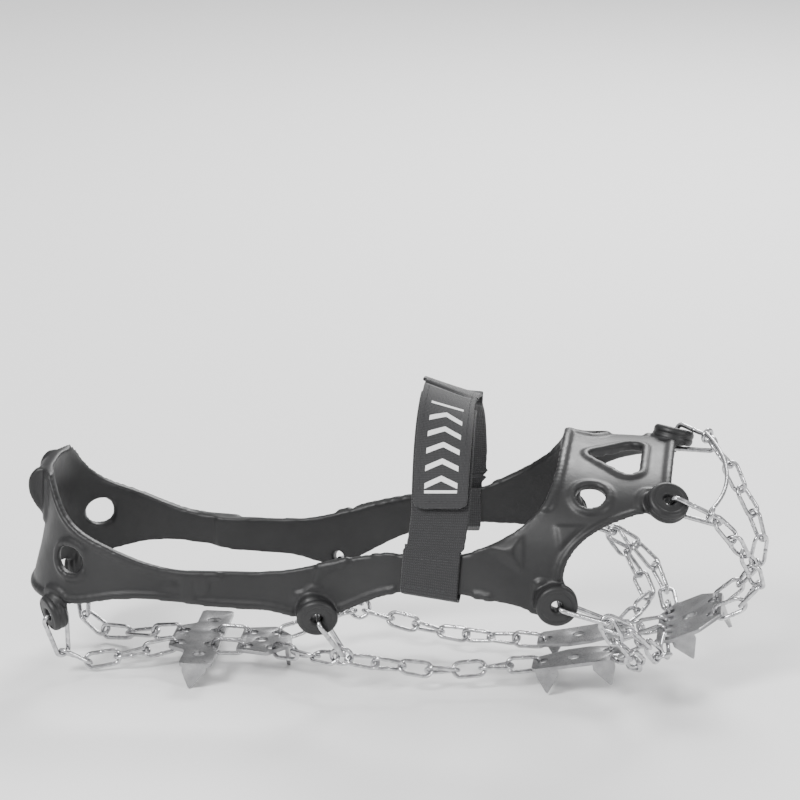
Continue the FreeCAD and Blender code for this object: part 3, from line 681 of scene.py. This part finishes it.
def build_lugs():
    """Stepped dish on each lug: rounded rim, groove, inner ring, hole."""
    for lug in LUGS:
        r = lug.radius + 0.12
        top = LUG_THICKNESS / 2 + 0.1
        hole = LUG_HOLE - 0.02
        face = [(hole, top - 1.1), (hole + 0.25, top - 0.55), (hole + 0.8, top - 0.2), (hole + 1.7, top - 0.15),
                (hole + 2.1, top - 0.45), (hole + 2.35, top - 1.15), (hole + 2.8, top - 1.25),
                (hole + 3.1, top - 0.7), (hole + 3.5, top - 0.15), (r - 1.6, top + 0.05), (r - 0.9, top - 0.15),
                (r - 0.35, top - 0.65), (r, top - 1.5), (r + 0.02, 0.7), (r - 0.28, 0.25), (r - 0.28, -0.25),
                (r + 0.02, -0.7), (r, -top + 1.5), (r - 0.35, -top + 0.65), (r - 0.9, -top + 0.15)]
        back = [(r - 1.8, -top), (hole + 0.9, -top), (hole + 0.25, -top + 0.3), (hole, -top + 1.0)]
        part = placed(lathe(face + back), lug.hole, lug.pull, np.cross(lug.facing, lug.pull))
        obj = new_object("lug_" + lug.name, *part, ELASTOMER)
        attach(obj, "harness")


# ---------------------------------------------------------------- strap
class Ribbon:
    """A flat strip along a row of stations, each with a middle, a width direction and a normal."""

    def __init__(self, centres, widths, half_width):
        self.centres = np.array(centres)
        self.across = np.array([w / np.linalg.norm(w) for w in widths])
        tangents = np.gradient(self.centres, axis=0)
        tangents /= np.linalg.norm(tangents, axis=1, keepdims=True)
        normals = np.cross(self.across, tangents)
        self.normals = normals / np.linalg.norm(normals, axis=1, keepdims=True)
        steps = np.linalg.norm(np.diff(self.centres, axis=0), axis=1)
        self.walked = np.concatenate([[0], np.cumsum(steps)])
        self.half_width = half_width

    def at(self, s, t, h):
        """The point s metres along, t metres across and h metres above the strip's middle."""
        row = [np.interp(s, self.walked, self.centres[:, k]) for k in range(3)]
        across = np.array([np.interp(s, self.walked, self.across[:, k]) for k in range(3)])
        normal = np.array([np.interp(s, self.walked, self.normals[:, k]) for k in range(3)])
        return np.array(row) + across * t + normal * h


class Sheet:
    """Mesh being put together in a ribbon's own coordinates, with UVs and several materials."""

    def __init__(self, ribbon):
        self.ribbon = ribbon
        self.verts = []
        self.uvs = []
        self.faces = []
        self.slots = []

    def grid(self, rows, closed, slot):
        """Faces over rows of (s, t, h); each row is closed round if asked."""
        start = len(self.verts)
        wide = len(rows[0])
        for row in rows:
            for s, t, h in row:
                self.verts.append(self.ribbon.at(s, t, h))
                self.uvs.append((s, t))
        for i in range(len(rows) - 1):
            for k in range(wide if closed else wide - 1):
                a = start + i * wide + k
                b = start + i * wide + (k + 1) % wide
                self.faces.append((a, b, b + wide, a + wide))
                self.slots.append(slot)
        if closed:
            self.faces.append(tuple(start + k for k in range(wide))[::-1])
            self.faces.append(tuple(start + (len(rows) - 1) * wide + k for k in range(wide)))
            self.slots += [slot, slot]

    def strip(self, s_from, s_to, thickness, slot=0, corner=0.0, lift=0.0, half_width=None):
        """The strip's own body, with rounded long edges and, if asked, rounded corners at its end."""
        half_width = half_width or self.ribbon.half_width
        count = max(4, int((s_to - s_from) / (0.8 * MM)))
        edge = thickness / 2
        rows = []
        for s in np.linspace(s_from, s_to, count):
            near_end = max(0.0, corner - (s_to - s))
            half = half_width - (corner - math.sqrt(max(corner**2 - near_end**2, 0.0)) if corner else 0.0)
            half = max(half, edge * 1.2)
            row = [(s, t, edge + lift) for t in np.linspace(-half + edge, half - edge, 14)]
            row += [(s, half - edge + edge * math.sin(a), edge * math.cos(a) + lift)
                    for a in np.linspace(0.4, math.pi - 0.4, 5)]
            row += [(s, t, lift - edge) for t in np.linspace(half - edge, -half + edge, 14)]
            row += [(s, -half + edge - edge * math.sin(a), edge * math.cos(a) + lift)
                    for a in np.linspace(math.pi - 0.4, 0.4, 5)]
            rows.append(row)
        self.grid(rows, True, slot)

    def stitch_line(self, start, end, height, slot, pitch=2.6 * MM, length=1.9 * MM, radius=0.24 * MM):
        """Short raised threads in a row from (s, t) to (s, t)."""
        start = np.array(start)
        end = np.array(end)
        total = np.linalg.norm(end - start)
        way = (end - start) / total
        side = np.array([-way[1], way[0]])
        for k in range(max(1, int(total / pitch))):
            rows = []
            for u in np.linspace(0, 1, 6):
                s, t = start + way * (k * pitch + length * u)
                swell = radius * math.sin(math.pi * min(max(u, 0.08), 0.92)) ** 0.5
                rows.append([(s + side[0] * swell * math.cos(a), t + side[1] * swell * math.cos(a),
                              height + swell * math.sin(a) * 0.9) for a in np.linspace(0, 2 * math.pi, 7)[:-1]])
            self.grid(rows, True, slot)

    def patch(self, outline_rows, height, slot):
        """Thin print: rows of (s, t) laid just above the surface."""
        rows = [[(s, t, height) for s, t in row] for row in outline_rows]
        self.grid(rows, False, slot)

    def build(self, name, materials):
        mesh = bpy.data.meshes.new(name)
        mesh.from_pydata([tuple(v) for v in self.verts], [], self.faces)
        for material in materials:
            mesh.materials.append(material)
        mesh.polygons.foreach_set("material_index", self.slots)
        layer = mesh.uv_layers.new(name="UVMap")
        for loop in mesh.loops:
            layer.data[loop.index].uv = self.uvs[loop.vertex_index]
        mesh.update()
        mesh.shade_smooth()
        mesh.set_sharp_from_angle(angle=math.radians(50))
        obj = bpy.data.objects.new(name, mesh)
        bpy.context.scene.collection.objects.link(obj)
        return obj


def tree_of(*nodes):
    verts = []
    faces = []
    for node in nodes:
        mesh = frame["nodes"][node].data
        start = len(verts)
        verts += [v.co.copy() for v in mesh.vertices]
        faces += [tuple(start + i for i in p.vertices) for p in mesh.polygons]
    return BVHTree.FromPolygons(verts, faces)


def straight_ends(hits):
    """Ends of the straight line through the middle of a row of hits, at the row's full width."""
    quarter = len(hits) // 4
    inner = hits[quarter:-quarter]
    fits = [np.polyfit(inner[:, 0], inner[:, k], 1) for k in range(3)]
    return [np.array([np.polyval(fit, x) for fit in fits]) for x in (hits[0, 0], hits[-1, 0])]


def outer_stations(nodes, sides, step_count=90):
    """Middles and width directions of the nodes' outer face, from one side to the other."""
    tree = tree_of(*nodes)
    centre_height = boot(0, 0, 62)[2]
    low_x = min(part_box(n)[0][0] for n in nodes)
    high_x = max(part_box(n)[1][0] for n in nodes)
    lowest = min(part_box(n)[0][2] for n in nodes) + FOLD_ROOM
    rows = []
    for turn in np.linspace(sides[0], sides[1], step_count):
        way = Vector((0, -math.cos(turn), math.sin(turn)))
        hits = []
        for x in np.arange(low_x + 0.1 * MM, high_x, 0.5 * MM):
            start = Vector((x, SEAT[1], centre_height)) + way * 0.12
            hit = tree.ray_cast(start, -way, 0.12)[0]
            if hit is not None and (hit - start).length < 0.119:
                hits.append(np.array(hit))
        if len(hits) > 30:
            a, b = straight_ends(np.array(hits))
            if min(a[2], b[2]) > lowest:
                rows.append((a, b))
    return rows


STRAP_WIDTH = 25 * MM
STRAP_THICKNESS = 1.4 * MM
TAB_THICKNESS = 2.4 * MM
BAND_AND_GAPS = 3.2 * MM + 2 * 0.3 * MM
FOLD_ROOM = 4.2 * MM


def folded(rows, inside_length):
    """Stations of a strip that comes down outside the band, turns under it and goes up inside."""
    centres = [(a + b) / 2 for a, b in rows]
    widths = [b - a for a, b in rows]
    first = Ribbon(centres, widths, STRAP_WIDTH / 2)
    faces_out = first.normals[0].dot(outward(first.centres[:1])[0]) > 0
    normals = first.normals if faces_out else -first.normals
    outer = list(first.centres - normals * STRAP_THICKNESS / 2)
    normal = normals[0]
    down = first.centres[0] - first.centres[1]
    down /= np.linalg.norm(down)
    radius = (BAND_AND_GAPS + STRAP_THICKNESS) / 2
    hub = outer[0] - normal * radius
    fold = [hub + radius * (normal * math.cos(a) + down * math.sin(a)) for a in np.linspace(0, math.pi, 12)[1:]]
    inside = [fold[-1] - down * inside_length * k / 8 for k in range(1, 9)]
    path = inside[::-1] + fold[::-1] + outer
    across = [widths[0]] * (len(inside) + len(fold)) + widths
    return path, across


def make_ribbon(path, across, half_width):
    even = resample([np.concatenate([p, a / np.linalg.norm(a)]) for p, a in zip(path, across)],
                    len(path) * 2, closed=False)
    ribbon = Ribbon(even[:, :3], even[:, 3:], half_width)
    middle = len(even) - 3
    if ribbon.normals[middle].dot(outward(ribbon.centres[middle:middle + 1])[0]) < 0:
        ribbon.across *= -1
        ribbon.normals *= -1
    return ribbon


def build_strap():
    half = STRAP_WIDTH / 2

    rows = outer_stations(["strap_right_webbing"], (-0.26, 1.56))
    path, across = folded(rows, 18 * MM)
    ribbon = make_ribbon(path, across, half)
    sheet = Sheet(ribbon)
    total = ribbon.walked[-1]
    sheet.strip(0, total, STRAP_THICKNESS)
    fold_end = 18 * MM + math.pi * (BAND_AND_GAPS + STRAP_THICKNESS) / 2
    for at in (fold_end + 1.5 * MM, fold_end + 14 * MM):
        sheet.stitch_line((at, -half + 2.5 * MM), (at, half - 2.5 * MM), STRAP_THICKNESS / 2, 1)
    right = sheet.build("right_strap", [STRAP_WEAVE, THREAD])
    stand_for(right, "strap_right_webbing")

    rows = outer_stations(["strap_left_loop", "strap_left_webbing"], (math.pi + 0.26, 1.6))
    path, across = folded(rows, 18 * MM)
    ribbon = make_ribbon(path, across, half)
    sheet = Sheet(ribbon)
    sheet.strip(0, ribbon.walked[-1], STRAP_THICKNESS)
    for at in (fold_end + 1.5 * MM, fold_end + 14 * MM):
        sheet.stitch_line((at, -half + 2.5 * MM), (at, half - 2.5 * MM), STRAP_THICKNESS / 2, 1)
    left = sheet.build("left_strap", [STRAP_WEAVE, THREAD])
    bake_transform(left)
    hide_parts("strap_left_loop", "strap_left_webbing")


def build_tab():
    low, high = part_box("strap_hook_tab")
    front = high[0]
    width = high[0] - low[0]
    tree = tree_of("strap_hook_tab", "strap_left_webbing")
    axis_height = boot(0, 0, 62)[2]
    rows = []
    for turn in np.linspace(math.pi / 2 + 0.28, 0.1, 90):
        way = Vector((0, -math.cos(turn), math.sin(turn)))
        pair = []
        for share in (0.15, 0.85):
            start = Vector((front - width * (1 - share), SEAT[1], axis_height)) + way * 0.12
            hit = tree.ray_cast(start, -way, 0.12)[0]
            if hit is not None and hit[2] > low[2] + 0.0002:
                pair.append(np.array(hit))
        if len(pair) == 2:
            rows.append(pair)
    centres = [(a + b) / 2 for a, b in rows]
    widths = [b - a for a, b in rows]
    guide = Ribbon(centres, widths, width / 2)
    sign = 1 if guide.normals[5].dot(outward(guide.centres[5:6])[0]) > 0 else -1
    path = [c - n * sign * TAB_THICKNESS / 2 for c, n in zip(guide.centres, guide.normals)]
    ribbon = make_ribbon(path, widths, width / 2)
    sheet = Sheet(ribbon)
    total = ribbon.walked[-1]
    half = width / 2
    layer = TAB_THICKNESS / 2
    sheet.strip(0, total, layer * 0.96, 0, 3.2 * MM, lift=layer / 2)
    sheet.strip(0, total, layer * 0.96, 3, 3.2 * MM, lift=-layer / 2, half_width=half - 0.5 * MM)
    top = layer + 0.01 * MM
    inset = 2.2 * MM
    for t in (-half + inset, half - inset):
        sheet.stitch_line((3 * MM, t), (total - 4 * MM, t), top, 1)
    for s in (total - 2.6 * MM, 3 * MM):
        sheet.stitch_line((s, -half + inset + 1 * MM), (s, half - inset - 1 * MM), top, 1)
    build_print(sheet, ribbon, total, half, top + 0.02 * MM)
    tab = sheet.build("hook_tab", [TAB_WEAVE, THREAD, PRINT, STRAP_WEAVE])
    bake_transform(tab)
    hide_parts("strap_hook_tab")


def build_print(sheet, ribbon, total, half, height):
    """A plain pattern printed down the tab: chevrons between bars."""
    wide = half - 4.6 * MM
    thick = 2.3 * MM
    first = total - 8 * MM
    for k in range(5):
        at = first - k * 7.2 * MM
        rows = []
        for t in np.linspace(-wide, wide, 15):
            rise = (1 - abs(t) / wide) * 3.2 * MM
            rows.append([(at - rise, t), (at - rise - thick, t)])
        sheet.patch(rows, height, 2)
    for at in (first + 1.8 * MM, first - 5 * 7.2 * MM - 1.4 * MM):
        rows = [[(at, t), (at - 1.2 * MM, t)] for t in np.linspace(-wide, wide, 9)]
        sheet.patch(rows, height, 2)


# ---------------------------------------------------------------- stage, light and camera
def build_stage():
    size = 6.0
    floor = new_object("floor", [(-size, -size, 0), (size, -size, 0), (size, size, 0), (-size, size, 0)],
                       [(0, 1, 2, 3)], principled("floor_paint", (0.86, 0.86, 0.86), 0.7)[0])
    world = bpy.data.worlds.new("studio")
    bpy.context.scene.world = world
    world.use_nodes = True
    nodes = world.node_tree.nodes
    sky = nodes["Background"]
    sky.inputs["Strength"].default_value = 1.0
    split = nodes.new("ShaderNodeSeparateXYZ")
    shade = nodes.new("ShaderNodeValToRGB")
    shade.color_ramp.elements[0].position = 0.0
    shade.color_ramp.elements[0].color = (0.12, 0.12, 0.13, 1)
    shade.color_ramp.elements[1].position = 0.75
    shade.color_ramp.elements[1].color = (1.0, 1.0, 1.0, 1)
    links = world.node_tree.links
    links.new(nodes.new("ShaderNodeTexCoord").outputs["Generated"], split.inputs["Vector"])
    links.new(split.outputs["Z"], shade.inputs["Fac"])
    links.new(shade.outputs["Color"], sky.inputs["Color"])
    lamps = [("key", (-0.7, -0.9, 1.1), 0.5, 26.0), ("fill", (1.1, -0.7, 0.5), 0.35, 7.0),
             ("back", (0.2, 1.1, 0.9), 0.6, 20.0)]
    for name, place, size, power in lamps:
        light = bpy.data.lights.new(name, "AREA")
        light.shape = "DISK"
        light.size = size
        light.energy = power
        lamp = bpy.data.objects.new(name, light)
        bpy.context.scene.collection.objects.link(lamp)
        lamp.location = place
        lamp.rotation_mode = "QUATERNION"
        lamp.rotation_quaternion = (Vector(place) - SEAT).to_track_quat("Z", "Y")


def build_camera():
    azimuth = math.radians(7)
    elevation = math.radians(20)
    distance = 1.5
    back = Vector((math.sin(azimuth) * math.cos(elevation), -math.cos(azimuth) * math.cos(elevation),
                   math.sin(elevation)))
    right = Vector((math.cos(azimuth), math.sin(azimuth), 0))
    up = back.cross(right)
    target = boot(150, 0, 60)
    # the object sits low and a little left in the frame
    aim = target + up * 0.0592 + right * 0.0054
    camera = bpy.data.objects.new("camera", bpy.data.cameras.new("camera"))
    camera.data.sensor_width = 36
    camera.data.lens = 157.95
    camera.location = target + back * distance
    camera.rotation_mode = "QUATERNION"
    camera.rotation_quaternion = (camera.location - aim).to_track_quat("Z", "Y")
    bpy.context.scene.collection.objects.link(camera)
    bpy.context.scene.camera = camera


build_harness()
build_lugs()
build_strap()
build_tab()
build_tapered_links()
build_chains()
build_second_fore_chains()
build_rings()
build_plates()
build_stage()
build_camera()
